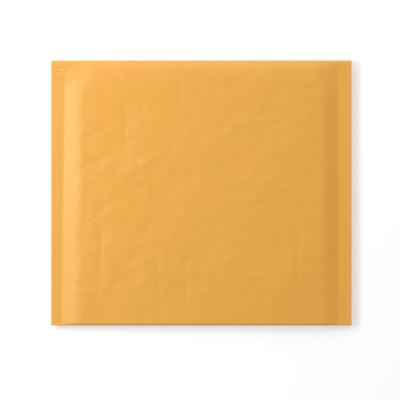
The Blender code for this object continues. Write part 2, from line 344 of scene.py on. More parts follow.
@dataclass(frozen=True)
class FilmFinish:
    """Milky polythene film, glossy, with flow marks and a little more haze where it is thin."""

    base: Colour = (0.790, 0.830, 0.850)
    haze: Colour = (0.880, 0.900, 0.905)
    flows: Point3 = (60.0, 420.0, 300.0)
    grains: Point3 = (900.0, 900.0, 900.0)
    haze_gain: float = 1.1
    haze_start: float = 0.05
    roughness: float = 0.22
    rough_shares: Sequence[float] = (0.12, 0.06)
    grain_shares: Sequence[float] = (0.7, 0.3)
    grain_depth: float = 0.00008
    grain_press: float = 0.4

    def build(self) -> bpy.types.Material:
        """Makes the film's material.

        Returns:
            The material.
        """
        graph = ShaderGraph("bubble_film")
        flow = graph.noise(self.flows, warp=0.3)
        grain = graph.noise(self.grains)
        hazy = (flow * self.haze_gain - self.haze_start).clamped()
        colour = graph.blend(hazy, self.base, self.haze)
        rough = self.roughness + total((flow - 0.5, grain - 0.5), self.rough_shares)
        height = total((flow, grain), self.grain_shares)
        return graph.finish(colour, rough, height, self.grain_depth, self.grain_press)


@dataclass(frozen=True)
class GlueFinish:
    """Hot-melt glue: pale amber, wet-looking, slightly streaked along the strip."""

    base: Colour = (0.760, 0.660, 0.420)
    deep: Colour = (0.660, 0.530, 0.290)
    streaks: Point3 = (35.0, 900.0, 500.0)
    beads: Point3 = (450.0, 450.0, 450.0)
    roughness: float = 0.26
    rough_share: float = 0.15
    grain_shares: Sequence[float] = (0.6, 0.4)
    grain_depth: float = 0.00008
    grain_press: float = 0.6

    def build(self) -> bpy.types.Material:
        """Makes the glue's material.

        Returns:
            The material.
        """
        graph = ShaderGraph("glue")
        streak = graph.noise(self.streaks, detail=3.0, rough=0.6)
        bead = graph.noise(self.beads, detail=1.0)
        colour = graph.blend(streak.clamped(), self.base, self.deep)
        rough = self.roughness + (streak - 0.5) * self.rough_share
        height = total((streak, bead), self.grain_shares)
        return graph.finish(colour, rough, height, self.grain_depth, self.grain_press)


@dataclass(frozen=True)
class ReleaseFinish:
    """Silicone-coated release paper: off-white and smooth, with a faint paper formation."""

    base: Colour = (0.860, 0.855, 0.815)
    shade: Colour = (0.800, 0.795, 0.750)
    clouds: Point3 = (260.0, 320.0, 300.0)
    fibres: Point3 = (500.0, 2400.0, 900.0)
    shade_shares: Sequence[float] = (0.8, 0.2)
    roughness: float = 0.34
    rough_share: float = 0.1
    grain_depth: float = 0.00003
    grain_press: float = 0.4

    def build(self) -> bpy.types.Material:
        """Makes the peel strip's material.

        Returns:
            The material.
        """
        graph = ShaderGraph("release_paper")
        cloud = graph.noise(self.clouds, detail=3.0, rough=0.55)
        fibre = graph.noise(self.fibres, rough=0.6)
        shaded = total((cloud, fibre), self.shade_shares).clamped()
        colour = graph.blend(shaded, self.base, self.shade)
        rough = self.roughness + (cloud - 0.5) * self.rough_share
        return graph.finish(colour, rough, fibre, self.grain_depth, self.grain_press)


@dataclass(frozen=True)
class FloorFinish:
    """A pale floor that looks white and keeps the shadow that falls on it."""

    paint: Colour = (0.689, 0.704, 0.698)
    lift: Colour = (0.417, 0.416, 0.417)

    def build(self) -> bpy.types.Material:
        """Makes the floor's material: the lift brings what the camera sees of it up to white.

        Returns:
            The material.
        """
        graph = ShaderGraph("floor")
        matt = graph.node("ShaderNodeBsdfDiffuse", {"Color": (*self.paint, 1.0)}).outputs[0]
        lift = graph.node("ShaderNodeEmission", {"Color": (*self.lift, 1.0)}).outputs[0]
        lifted = graph.node("ShaderNodeAddShader", {0: matt, 1: lift}).outputs[0]
        return graph.close(graph.node("ShaderNodeMixShader", {0: graph.seen(), 1: matt, 2: lifted}))


# The pack's form


@dataclass(frozen=True)
class MailerShape:
    """Sizes of the folded pack, and the heights that follow from them."""

    width: float
    height: float
    clearance: float = 0.0003
    paper: float = 0.0003
    film: float = 0.0003
    adhesive: float = 0.0002
    liner: float = 0.0002
    seam_left_foot: float = 0.0070
    seam_left_head: float = 0.0090
    seam_right: float = 0.0090
    front_rise: float = 0.0024
    front_crown: float = 0.0012
    back_rise: float = 0.0044
    shut_rise: float = 0.0004
    left_run: float = 0.0140
    right_run: float = 0.0120
    head_run: float = 0.0120
    cushion_run: float = 0.0150
    corner_start: float = 0.0060
    corner_ease: float = 0.0150
    corner_share: float = 1.7
    foot_run: float = 0.0015
    seam_foot_run: float = 0.0006
    right_curl: float = 0.0005
    head_lip: float = 0.30
    lip_run: float = 0.0020
    left_corner: float = 2.0
    right_corner: float = 4.0
    fold_radius: float = 0.0015
    mouth_drop: float = 0.0025
    flap_length: float = 0.0500
    flap_taper: float = 0.0020
    step_gap: float = 0.0020
    step_run: float = 0.0120

    @property
    def stack(self) -> float:
        """What lies between the back wall and the flap."""
        return 3 * self.clearance + self.adhesive + self.liner

    @property
    def seam_plane(self) -> float:
        """Height of the side seams above the floor."""
        return self.paper + self.back_rise

    @property
    def foot(self) -> float:
        """Y of the bottom fold."""
        return -self.height / 2

    @property
    def mouth(self) -> float:
        """Y of the back wall's lip."""
        return self.height / 2 - self.mouth_drop

    @property
    def fold_start(self) -> float:
        """Y at which the top fold begins."""
        return self.height / 2 - self.fold_radius

    @property
    def flap_edge(self) -> float:
        """Y of the flap's free edge."""
        return self.height / 2 - self.flap_length

    @property
    def step_head(self) -> float:
        """Y below which the back wall swells out past the flap."""
        return self.flap_edge - self.step_gap

    def shoulder(self, share: np.ndarray) -> np.ndarray:
        """Rise of a padded wall from its edge, for shares of the run from 0 to 1."""
        part = np.clip(share, 0.0, 1.0)
        return np.where(part < 0.5, part * 4 / 3, 1 - (1 - part) ** 2 * 4 / 3)

    def side_share(self, x: np.ndarray, y: np.ndarray) -> np.ndarray:
        """How far points are past their nearer seam. Both runs are wider near the top corners.

        Args:
            x: Places across.
            y: Places along.

        Returns:
            Shares of that side's run, from 0 to 1.
        """
        down = np.clip((self.fold_start - y - self.corner_start) / self.corner_ease, 0.0, 1.0)
        full = down * down * (3 - 2 * down)
        wider = self.corner_share + (1 - self.corner_share) * full
        from_left = (x + self.width / 2 - self.left_seam(y)) / (wider * self.left_run)
        from_right = (self.width / 2 - self.seam_right - x) / (wider * self.right_run)
        return np.clip(np.minimum(from_left, from_right), 0.0, 1.0)

    def cushion_share(self, y: np.ndarray) -> np.ndarray:
        """How high the front stands below the top fold.

        Args:
            y: Places along.

        Returns:
            The shares of a shoulder's run that stand as high.
        """
        below = np.clip((self.fold_start - y) / self.cushion_run, 0.0, 1.0)
        swell = 1 - (1 - below) ** 2
        share = np.where(swell < 2 / 3, 0.75 * swell, 1 - np.sqrt(0.75 * (1 - swell)))
        lip = 1 - np.exp(-np.maximum(self.fold_start - y, 0.0) / self.lip_run)
        return share + self.head_lip * lip * (1 - share)

    def curl(self, x: np.ndarray) -> np.ndarray:
        """How far the right seam curls up towards its outer edge."""
        into = np.clip((x - self.width / 2 + self.seam_right) / self.seam_right, 0.0, 1.0)
        return self.right_curl * into**2

    def front(self, x: np.ndarray, y: np.ndarray) -> np.ndarray:
        """How far the front wall stands from the seam plane: a low cushion, squarer at the right.

        Args:
            x: Places across.
            y: Places along.

        Returns:
            The heights.
        """
        side = self.side_share(x, y)
        head = self.cushion_share(y)
        power = np.where(x < 0, self.left_corner, self.right_corner)
        both = 1 - ((1 - side) ** power + (1 - head) ** power) ** (1 / power)
        bow = (1 - (2 * x / self.width) ** 2) * np.maximum(1 - (2 * y / self.height) ** 2, 0.0)
        shut = self.shut_rise * self.shoulder(side)
        full = self.front_rise - self.shut_rise + self.front_crown * bow
        return shut + full * self.shoulder(both)

    def back(self, y: np.ndarray) -> np.ndarray:
        """How far the back wall stands from the seam plane, less where the flap lies on it.

        Args:
            y: Places along.

        Returns:
            The depths.
        """
        part = np.clip((y - self.step_head + self.step_run) / self.step_run, 0.0, 1.0)
        pressed = part * part * (3 - 2 * part)
        full = self.back_rise - pressed * (self.stack + self.paper)
        rise = self.shoulder((self.mouth - y) / self.head_run)
        return self.shut_rise + (full - self.shut_rise) * rise

    def foot_arc(self, y: np.ndarray, rise: np.ndarray, outer: bool) -> np.ndarray:
        """The bottom fold's share of the full height: round over a longer run where the pack is thicker.

        Args:
            y: Places along.
            rise: How much of the full swell there is at each place.
            outer: Whether the paper's outer face is meant.

        Returns:
            Shares from 0 at the fold to 1.
        """
        sheet = 0.0 if outer else self.paper
        run = self.seam_foot_run + (self.foot_run - self.seam_foot_run) * np.minimum(rise * 3, 1.0)
        reach = np.clip((y - self.foot - sheet) / (run - sheet), 0.0, 1.0)
        return np.sqrt(1 - (1 - reach) ** 2)

    def flap_depth(self, y: float) -> float:
        """Distance of the flap's inner face below the seam plane."""
        return self.paper + float(self.back(np.array(y))) + self.stack

    def left_seam(self, y: np.ndarray) -> np.ndarray:
        """Width of the left seam."""
        share = np.clip((y - self.foot) / self.height, 0.0, 1.0)
        return self.seam_left_foot + share * (self.seam_left_head - self.seam_left_foot)

    def room(self, x: np.ndarray, y: np.ndarray, front: np.ndarray) -> np.ndarray:
        """Distance from the seam plane to the paper's inner face.

        Args:
            x: Places across.
            y: Places along.
            front: Whether the front wall is meant.

        Returns:
            The distances.
        """
        rise = self.shoulder(self.side_share(x, y))
        wall = np.where(front, self.front(x, y), self.back(y) * rise)
        return wall * self.foot_arc(y, rise, False)


class CreaseKind(Enum):
    """How a crease stands in the paper."""

    RIDGE = "ridge"
    VALLEY = "valley"
    STEP = "step"


@dataclass(frozen=True)
class Crease:
    """A soft crease along a line that bows a little and fades at its ends."""

    start: Point2
    end: Point2
    width: float
    rise: float
    kind: CreaseKind
    bow: float = 0.012
    bow_turn: float = 5.3
    bow_shift: float = 90.0
    end_ease: float = 2.2
    tip: float = 0.08
    fade_power: float = 0.8
    step_gain: float = 1.6

    def height(self, x: np.ndarray, y: np.ndarray) -> np.ndarray:
        """The crease's height at points of the sheet.

        Args:
            x: Places across.
            y: Places along.

        Returns:
            The heights.
        """
        run = np.array(self.end) - np.array(self.start)
        length = float(np.hypot(*run))
        from_x, from_y = x - self.start[0], y - self.start[1]
        along = (from_x * run[0] + from_y * run[1]) / length**2
        across = (from_x * run[1] - from_y * run[0]) / length
        part = np.clip(along, 0.0, 1.0)
        past = (along - part) * length
        sway = np.sin(part * self.bow_turn + self.start[0] * self.bow_shift)
        off = (across + self.bow * length * sway) / self.width
        near = np.exp(-(off**2) - (past / (self.end_ease * self.width)) ** 2)
        fade = np.sin(math.pi * (self.tip + (1 - 2 * self.tip) * part)) ** self.fade_power
        if self.kind is CreaseKind.STEP:
            return self.rise * self.step_gain * off * near * fade
        side = 1 if self.kind is CreaseKind.RIDGE else -1
        return side * self.rise * near * fade


@dataclass(frozen=True)
class Dimple:
    """A small round dent, or a bump where the rise is above 0."""

    centre: Point2
    radius: float
    rise: float

    def height(self, x: np.ndarray, y: np.ndarray) -> np.ndarray:
        """The dimple's height at points of the sheet."""
        reach = np.hypot(x - self.centre[0], y - self.centre[1]) / self.radius
        return self.rise * np.exp(-(reach**2))


@dataclass(frozen=True)
class Crumple:
    """Irregular unevenness of one size: soft bumps, or sharper creases where it is ridged."""

    cell: float
    rise: float
    turn: float
    seed: int
    ridged: bool = False
    ridge_level: float = 0.25
    ridge_softness: float = 0.0025
    lattice: int = 97

    def height(self, x: np.ndarray, y: np.ndarray) -> np.ndarray:
        """The unevenness at points of the sheet, from random slopes on a lattice of cells.

        Args:
            x: Places across.
            y: Places along.

        Returns:
            The heights.
        """
        turns = np.random.default_rng(self.seed).uniform(0.0, 2 * math.pi, (self.lattice, self.lattice))
        across = (x * math.cos(self.turn) + y * math.sin(self.turn)) / self.cell
        along = (y * math.cos(self.turn) - x * math.sin(self.turn)) / self.cell
        column, row = np.floor(across).astype(int), np.floor(along).astype(int)
        from_column, from_row = across - column, along - row

        def slope(right: int, up: int) -> np.ndarray:
            """The height that one corner of the cell gives."""
            way = turns[(row + up) % self.lattice, (column + right) % self.lattice]
            return np.cos(way) * (from_column - right) + np.sin(way) * (from_row - up)

        def ease(share: np.ndarray) -> np.ndarray:
            """A smooth step from 0 to 1."""
            return share**3 * (share * (6 * share - 15) + 10)

        ease_x, ease_y = ease(from_column), ease(from_row)
        low = slope(0, 0) * (1 - ease_x) + slope(1, 0) * ease_x
        high = slope(0, 1) * (1 - ease_x) + slope(1, 1) * ease_x
        level = low * (1 - ease_y) + high * ease_y
        if self.ridged:
            level = self.ridge_level - np.sqrt(level**2 + self.ridge_softness)
        return self.rise * level


@dataclass(frozen=True)
class SlowWave:
    """A long, low wave of the paper, which the solid has as well."""

    rise: float
    across: float
    along: float
    phase: float

    def height(self, x: np.ndarray, y: np.ndarray) -> np.ndarray:
        """The wave's height at points of the sheet."""
        turn = 2 * math.pi * (x / self.across + y / self.along)
        return self.rise * np.sin(turn + self.phase)


def heights(marks: Sequence[Any], x: np.ndarray, y: np.ndarray) -> np.ndarray:
    """Adds up the heights of marks in the paper.

    Args:
        marks: Creases, dimples, crumples or slow waves.
        x: Places across.
        y: Places along.

    Returns:
        The heights.
    """
    total = np.zeros_like(x)
    for mark in marks:
        total += mark.height(x, y)
    return total


@dataclass(frozen=True)
class PaperRelief:
    """The unevenness of the paper over its padding."""

    shape: MailerShape
    drawn: Sequence[Crease | Dimple]
    crumples: Sequence[Crumple]
    slow_waves: Sequence[SlowWave]
    bubble_pitch: float
    bubble_mark: float
    bubble_round: float = 0.75

    def bubbles(self, x: np.ndarray, y: np.ndarray) -> np.ndarray:
        """The faint round marks of the bubbles under the paper.

        Args:
            x: Places across.
            y: Places along.

        Returns:
            The heights.
        """
        row_pitch = self.bubble_pitch * math.sqrt(3) / 2
        row = np.round((y - self.shape.foot) / row_pitch)
        shift = np.where(row % 2 == 0, 0.0, self.bubble_pitch / 2)
        column = np.round((x - shift) / self.bubble_pitch)
        from_x = x - shift - column * self.bubble_pitch
        from_y = y - self.shape.foot - row * row_pitch
        reach = np.hypot(from_x, from_y) / (self.bubble_pitch / 2)
        return self.bubble_mark * np.exp(-((reach / self.bubble_round) ** 4))

    def padded(self, x: np.ndarray, y: np.ndarray) -> np.ndarray:
        """All the relief of a padded wall but the slow waves."""
        return heights(self.drawn, x, y) + heights(self.crumples, x, y) + self.bubbles(x, y)


# The front's larger creases. Each row: X and Y of the start, X and Y of the end, width, rise
FRONT_CREASES: Mapping[CreaseKind, Rows] = {
    CreaseKind.VALLEY: (
        (-66.9, -8.7, -67.2, -77.4, 4.6, 0.25), (-67.2, -12.7, -67.2, -77.4, 1.3, 0.19),
        (-50.2, 65.2, -50.6, 17.9, 1.6, 0.19), (-46.9, -28.7, -46.6, -80, 1.6, 0.14),
        (-28.6, -30.1, -28.6, -80.7, 1.7, 0.24), (-10.3, -36.7, -10.3, -80.7, 1.6, 0.24),
        (63.7, -6.7, 63.7, -80, 1.7, 0.24), (61.4, 64.6, 61.4, 31.2, 1.7, 0.19),
        (-14.9, 79.2, -14.9, 49.9, 1.7, 0.16), (27.7, 71.2, 27.7, 61.9, 2.2, 0.14),
        (-75.6, 30.6, -75.6, 13.9, 2.6, 0.2), (-79.6, 16.6, -56.2, 27.3, 3, 0.32),
        (-76.9, 35.9, -60.2, 44.6, 2, 0.24), (-72.2, 51.2, -54.9, 56.6, 2.4, 0.15),
        (-76.9, 3.3, -64.9, 5.6, 1.8, 0.14), (-66.9, -12.7, -54.9, -3.4, 2.2, 0.19),
        (-27.6, 20.6, -22.3, 27.3, 1.7, 0.14), (-79.6, 47.9, -74.2, 59.9, 2.6, 0.15),
        (-64.9, -26.1, -51.6, -19.4, 2.2, 0.11), (-64.9, -46, -50.2, -43.4, 1.8, 0.11),
        (-64.9, -61.4, -50.2, -60.7, 1.8, 0.1), (-46.2, 1.9, -34.2, 7.9, 2.2, 0.14),
        (17.7, 49.9, 30.4, 55.9, 2.2, 0.16), (25.7, 59.2, 33.7, 63.9, 2, 0.14),
        (47, 63.9, 57, 69.9, 2, 0.18), (67.7, 8.6, 75, 16.6, 1.8, 0.21),
        (67, -50.7, 75, -42.7, 2, 0.21), (1.1, -42, 5.7, -36.7, 1.8, 0.16),
        (3.7, -30.1, 9.7, -24.1, 2, 0.16), (-0.9, 67.2, 9.7, 69.9, 1.8, 0.16),
        (65.7, 66.6, 80.4, 68.6, 1.4, 0.16), (67.7, -8.1, 79, -6.1, 1.6, 0.13),
        (-40.2, 55.2, -36.9, 63.2, 2, 0.14), (9.7, 13.9, 20.4, 21.9, 2.4, 0.16),
        (32.4, -14.1, 40.4, -4.7, 2.4, 0.13), (52.4, -4.7, 59.7, 3.3, 2.2, 0.16),
        (-7.6, 8.6, 3.1, 16.6, 2.4, 0.13), (-27.6, -21.4, -19.6, -12.7, 2.2, 0.14),
    ),
    CreaseKind.RIDGE: (
        (-75.6, 33.9, -64.2, 36.6, 1.6, 0.13), (-49.6, 13.3, -26.9, 26.9, 2.2, 0.24),
        (-65.6, 62.6, -52.9, 71.2, 2.8, 0.13), (13.7, 37.2, 25.1, 45.9, 2.2, 0.21),
        (23.7, 46.6, 49.7, 48.9, 1.9, 0.24), (26.4, -55.4, 41.7, -54.4, 1.3, 0.16),
        (-10.3, -53.4, 5.1, -53.4, 1.3, 0.16),
    ),
}

# Short creases across the shoulders and in the left seam, in rows of the same kind
SHOULDER_TICKS: Mapping[CreaseKind, Rows] = {
    CreaseKind.VALLEY: (
        (-87.6, 9.7, -75.6, 9.6, 0.9, 0.06), (-88.2, 4.6, -78.2, 4.5, 0.9, 0.03),
        (-88.2, -31.4, -82.9, -31.4, 0.8, 0.1), (-91.5, -47.4, -82.2, -47.4, 0.8, 0.08),
        (-90.2, -61, -78.2, -61, 1, 0.13), (-91.5, -64.7, -82.2, -64.7, 0.8, 0.07),
        (-91.5, -70.7, -82.2, -70.7, 0.8, 0.07), (-97.4, 82.6, -92.6, 82.6, 0.6, 0.42),
        (-97.4, 80.4, -92.6, 80.4, 0.6, 0.36), (79, 66.6, 84.4, 66.6, 1.2, 0.12),
        (77.7, 35.2, 83.7, 33.9, 1.2, 0.1), (77.7, -20.7, 84.4, -19.4, 1.2, 0.1),
        (77.7, -40, 84.4, -40.7, 1.2, 0.12), (77.7, 21.9, 83.7, 22.6, 1.1, 0.08),
    ),
    CreaseKind.RIDGE: (
        (-86.9, 7.4, -75.6, 7.5, 0.9, 0.06), (-90.2, -34, -82.9, -34.4, 0.8, 0.07),
    ),
}

# The back wall's creases, in rows of the same kind
BACK_CREASES: Mapping[CreaseKind, Rows] = {
    CreaseKind.STEP: (
        (-60, -70, -30, -48, 2.8, 0.1), (-20, 10, 12, 4, 3, 0.09),
    ),
    CreaseKind.VALLEY: (
        (20, -30, 52, -42, 3, 0.1), (64, 10, 66, -50, 2.2, 0.08),
    ),
}

# The front's dents and bumps. Each row: X and Y of the centre, radius, rise
FRONT_DIMPLES: Rows = (
    (-8.6, 38.6, 2.6, 0.19), (40.4, 24.6, 1.9, 0.16), (18.4, -44.7, 1.9, 0.14),
    (-78.2, -7.4, 2.2, -0.19), (-78.9, -28.7, 2.2, -0.18), (-68.9, -30.1, 1.7, -0.13),
    (-68.2, -46, 1.8, -0.14), (-78.9, -62, 2, -0.18), (-3.6, -13.4, 1.7, -0.16),
    (18.4, -22.7, 2, -0.16), (40.4, 33.2, 2, -0.11), (19.7, 15.3, 1.8, -0.14),
    (-40.9, -60.7, 1.8, 0.14), (-12.9, -1.4, 1.7, -0.13), (-51.6, 63.2, 1.5, -0.16),
    (-2.9, 57.9, 2, -0.14), (32.4, -35.4, 1.6, 0.13), (45.7, -12.7, 1.8, 0.13),
    (-29.6, -33.4, 1.7, -0.13), (-8.9, -44.7, 1.6, -0.13), (-46.2, -35.4, 2, 0.14),
    (-46.2, 29.9, 2, 0.14), (75.7, -59.4, 1.8, 0.13), (11.7, -56, 1.8, 0.13),
    (59, 19.9, 1.5, -0.1), (8.4, 18.6, 1.4, -0.1), (69.7, 49.9, 1.8, 0.11),
)

FRONT_CRUMPLES = (
    Crumple(0.0230, 0.00027, 0.35, 5),
    Crumple(0.0130, 0.00025, 1.05, 17, ridged=True),
    Crumple(0.0080, 0.00020, 0.15, 29),
    Crumple(0.0052, 0.00018, 0.80, 31, ridged=True),
    Crumple(0.0034, 0.00010, 1.30, 43),
)

BACK_CRUMPLES = (
    Crumple(0.0250, 0.00014, 0.55, 61),
    Crumple(0.0120, 0.00008, 0.25, 67, ridged=True),
    Crumple(0.0060, 0.00004, 1.15, 71),
)

SLOW_WAVES = (
    SlowWave(0.00013, 0.083, 0.140, 0.6),
    SlowWave(0.00009, 0.047, -0.095, 2.1),
    SlowWave(0.00007, -0.120, 0.061, 4.0),
)


def creases(table: Mapping[CreaseKind, Rows]) -> list[Crease]:
    """Makes the creases of a table.

    Args:
        table: The rows of each kind, in millimetres.

    Returns:
        The creases, in metres.
    """
    made = []
    for kind, rows in table.items():
        for row in rows:
            from_x, from_y, to_x, to_y, width, rise = (value * MM for value in row)
            made.append(Crease((from_x, from_y), (to_x, to_y), width, rise, kind))
    return made


def dimples(rows: Rows) -> list[Dimple]:
    """Makes dimples, in metres, from their rows in millimetres."""
    return [Dimple((x * MM, y * MM), radius * MM, rise * MM) for x, y, radius, rise in rows]


# Mesh tools


class SheetMesh:
    """Collects the corners and faces of a sheet."""

    def __init__(self) -> None:
        """Starts empty."""
        self.corners: list[np.ndarray] = []
        self.count = 0
        self.faces: list[list[int]] = []

    def line(self, x: Any, y: Any, z: Any) -> np.ndarray:
        """Adds a line of corners.

        Args:
            x: X of each corner, or of all.
            y: Y of each corner, or of all.
            z: Z of each corner, or of all.

        Returns:
            The corners' numbers.
        """
        points = np.stack(np.broadcast_arrays(x, y, z), axis=1)
        first = self.count
        self.corners.append(points)
        self.count += len(points)
        return np.arange(first, self.count)

    def strips(self, lines: Sequence[np.ndarray], turned: bool = False) -> None:
        """Faces between each line of corners and the next.

        Args:
            lines: The lines. The faces look up where X runs along them and Y from line to line.
            turned: Whether the faces look the other way.
        """
        for first, second in zip(lines, lines[1:]):
            low, high = (second, first) if turned else (first, second)
            rings = np.stack([low[:-1], low[1:], high[1:], high[:-1]], axis=1)
            self.faces.extend(rings.tolist())

    def face(self, ring: Sequence[int], turned: bool = False) -> None:
        """Adds a face.

        Args:
            ring: Its corners. One that is named twice running is used once.
            turned: Whether the face looks the other way.
        """
        ring = ring[::-1] if turned else ring
        kept = [int(corner) for at, corner in enumerate(ring) if corner != ring[at - 1]]
        if len(kept) > 2:
            self.faces.append(kept)

    def stitch(self, coarse: np.ndarray, fine: np.ndarray, marks: np.ndarray, turned: bool) -> None:
        """Faces between a line of few corners and a line of many.

        Args:
            coarse: The line of few corners.
            fine: The line of many.
            marks: For each corner of the coarse line, the place in the fine line that it faces.
            turned: Whether the faces look down rather than up.
        """
        for number in range(len(coarse) - 1):
            far = fine[marks[number]:marks[number + 1] + 1][::-1].tolist()
            self.face([*coarse[number:number + 2].tolist(), *far], turned)

    def mesh(self, name: str, lift: float) -> bpy.types.Mesh:
        """Makes the mesh.

        Args:
            name: Its name.
            lift: How far it is raised.

        Returns:
            The mesh.
        """
        points = np.concatenate(self.corners) + np.array([0.0, 0.0, lift])
        mesh = bpy.data.meshes.new(name)
        mesh.from_pydata(points.tolist(), [], self.faces)
        mesh.validate()
        return mesh


def face_outwards(mesh: bpy.types.Mesh) -> bpy.types.Mesh:
    """Turns the faces of a closed mesh outwards.

    Args:
        mesh: The mesh.

    Returns:
        The same mesh.
    """
    solid = bmesh.new()
    solid.from_mesh(mesh)
    bmesh.ops.recalc_face_normals(solid, faces=solid.faces[:])
    solid.to_mesh(mesh)
    solid.free()
    return mesh


def show(name: str, mesh: bpy.types.Mesh, material: bpy.types.Material) -> bpy.types.Object:
    """Puts a mesh in the scene under its name, smooth, with its material.

    Args:
        name: Name of the piece.
        mesh: Its mesh, in place.
        material: Its finish.

    Returns:
        The object.
    """
    mesh.materials.clear()
    mesh.materials.append(material)
    mesh.shade_smooth()
    mesh.set_sharp_from_angle(angle=SHARP_ANGLE)
    piece = bpy.data.objects.new(name, mesh)
    bpy.context.scene.collection.objects.link(piece)
    return piece


def settle(piece: bpy.types.Object, node: str) -> None:
    """Rides a piece on the pack and lets it stand for its solid.

    Args:
        piece: The finished piece.
        node: The solid that it replaces.
    """
    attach(piece, "root")
    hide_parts(node)
    LOG.info("%s: %d faces in place of %s", piece.name, len(piece.data.polygons), node)


# Pieces


@dataclass
class KraftCover:
    """The folded kraft sheet with its crushed seams and its flap."""

    shape: MailerShape
    front_relief: PaperRelief
    back_relief: PaperRelief
    seam_lines: Sequence[tuple[int, float, float]] = (
        (-1, 0.0036, 0.00004),
        (-1, 0.0066, 0.00008),
        (1, 0.0008, 0.00006),
        (1, 0.0034, 0.00004),
    )
    seam_line_width: float = 0.00055
    seam_line_wander: float = 0.00012
    seam_line_waves: float = 61.0
    seam_line_shift: float = 900.0
    seam_line_reach: float = 0.0010
    pressed_rows: Sequence[float] = (0.0826, 0.0804)
    pressed_steps: Sequence[float] = (-0.0006, -0.0003, 0.0, 0.0003, 0.0006)
    flap_cockle: float = 0.00006
    flap_waves: Point2 = (47.0, 19.0)
    flap_shift: float = 1.1
    crease_wear: float = 0.15
    foot_wear: float = 0.6
    side_wear: float = 0.3
    worn_depth: float = 0.00030
    worn_fold: float = 0.0016
    worn_side: float = 0.0006
    seam_columns: int = 17
    shoulder_columns: int = 14
    face_columns: int = 122
    foot_rows: int = 9
    head_rows: int = 12
    fold_rows: int = 12
    face_step: float = 0.00125
    flap_step: float = 0.00200
    sheet: SheetMesh = field(default_factory=SheetMesh)

    def __post_init__(self) -> None:
        """Sets each column's X at the foot, its share of the left seam's lean, and its rise."""
        shape = self.shape
        half = shape.width / 2
        seam = np.arange(self.seam_columns) / self.seam_columns
        ramp = np.linspace(0.0, 1.0, self.shoulder_columns + 1)
        face = np.arange(1, self.face_columns) / self.face_columns
        face_left = -half + shape.left_run
        face_right = half - shape.seam_right - shape.right_run
        flat, level = np.zeros_like(seam), np.ones_like(face)
        self.base = np.concatenate([
            np.full(self.seam_columns, -half),
            -half + shape.left_run * ramp,
            (1 - face) * face_left + face * face_right,
            half - shape.seam_right - shape.right_run * ramp[::-1],
            half - shape.seam_right * seam[::-1],
        ])
        self.lean = np.concatenate([seam, np.ones_like(ramp), 1 - face, np.zeros_like(ramp), flat])
        rises = [flat, shape.shoulder(ramp), level, shape.shoulder(ramp[::-1]), flat]
        self.rise = np.concatenate(rises)

    def across(self, y: float) -> np.ndarray:
        """X of every column at y."""
        return self.base + self.lean * float(self.shape.left_seam(np.array(y)))

    def levels(self) -> list[float]:
        """Y of the rows above the bottom fold.

        Returns:
            The rows' Y, the mouth's and the top fold's last.
        """
        shape = self.shape
        start, head_start = shape.foot + shape.foot_run, shape.mouth - shape.head_run
        steps = int(round((head_start - start) / self.face_step))
        face = np.linspace(start, head_start, steps + 1)[1:]
        head = np.linspace(head_start, shape.mouth, self.head_rows + 1)[1:]
        pressed = [row + step for row in self.pressed_rows for step in self.pressed_steps]
        return [*sorted([*face.tolist(), *head.tolist(), *pressed]), shape.fold_start]

    def seam_marks(self, x: np.ndarray, y: np.ndarray) -> np.ndarray:
        """The pressed lines that run down the side seams.

        Args:
            x: Places across.
            y: Places along.

        Returns:
            Their heights, below 0.
        """
        shape = self.shape
        total = np.zeros_like(x)
        for side, inset, depth in self.seam_lines:
            waves = np.sin(y * self.seam_line_waves + side * 2 + inset * self.seam_line_shift)
            off = x - side * (shape.width / 2 - inset) + self.seam_line_wander * waves
            total -= depth * np.exp(-((off / self.seam_line_width) ** 2))
        inner = shape.width / 2 - shape.seam_right - self.seam_line_reach
        return total * (np.abs(x) > inner)

    def wall(self, y: float, front: bool, outer: bool) -> tuple[np.ndarray, np.ndarray, np.ndarray]:
        """Points of one row of a wall, one for each column.

        Args:
            y: Its Y.
            front: Whether it is the front wall.
            outer: Whether it is the paper's outer face.

        Returns:
            X, Y and Z of the points, Z from the seam plane.
        """
        shape, rise = self.shape, self.rise
        x = self.across(y)
        along = np.full_like(x, y)
        relief = self.front_relief if front else self.back_relief
        if front:
            height = shape.front(x, along) + rise * heights(relief.slow_waves, x, along)
        else:
            height = rise * shape.back(along)
        ripple = relief.padded(x, along)
        if outer:
            bare = heights(relief.drawn, x, along)
            settled = rise * ripple + (1 - rise) * bare + self.seam_marks(x, along)
            height = shape.paper + height + settled
        else:
            height = height + rise * ripple
        if not front:
            height = -np.minimum(height, shape.seam_plane)
        return x, along, height * shape.foot_arc(along, rise, outer) + shape.curl(x)

    def row(self, y: float, front: bool, outer: bool, columns: Any = slice(None)) -> np.ndarray:
        """Adds a row of a wall to the sheet.

        Args:
            y: Its Y.
            front: Whether it is the front wall.
            outer: Whether it is the paper's outer face.
            columns: Which columns it has, all if none are named.

        Returns:
            Its corners' numbers.
        """
        return self.sheet.line(*(values[columns] for values in self.wall(y, front, outer)))

    def build(self) -> bpy.types.Mesh:
        """Makes the whole sheet, closed, with its thickness.

        Returns:
            The mesh, in place.
        """
        shape, sheet = self.shape, self.sheet
        shares = 1 - np.cos(np.linspace(0.0, math.pi / 2, self.foot_rows + 1))
        outer_rows = [*(shape.foot + shape.foot_run * shares).tolist(), *self.levels()]
        depth = shape.foot_run - shape.paper
        inner_rows = [*(shape.foot + shape.paper + depth * shares).tolist(), *self.levels()]
        mouth = len(outer_rows) - 2

        front = [self.row(y, front=True, outer=True) for y in outer_rows]
        behind = outer_rows[1:mouth + 1]
        back = [front[0], *(self.row(y, front=False, outer=True) for y in behind)]
        mouth_front, lip = self.pocket(inner_rows[:mouth], inner_rows[mouth])
        start_inner = self.row(inner_rows[-1], front=True, outer=False)

        sheet.strips(front)
        sheet.strips(back, turned=True)
        sheet.strips([start_inner, mouth_front])
        sheet.strips([lip, back[-1]])

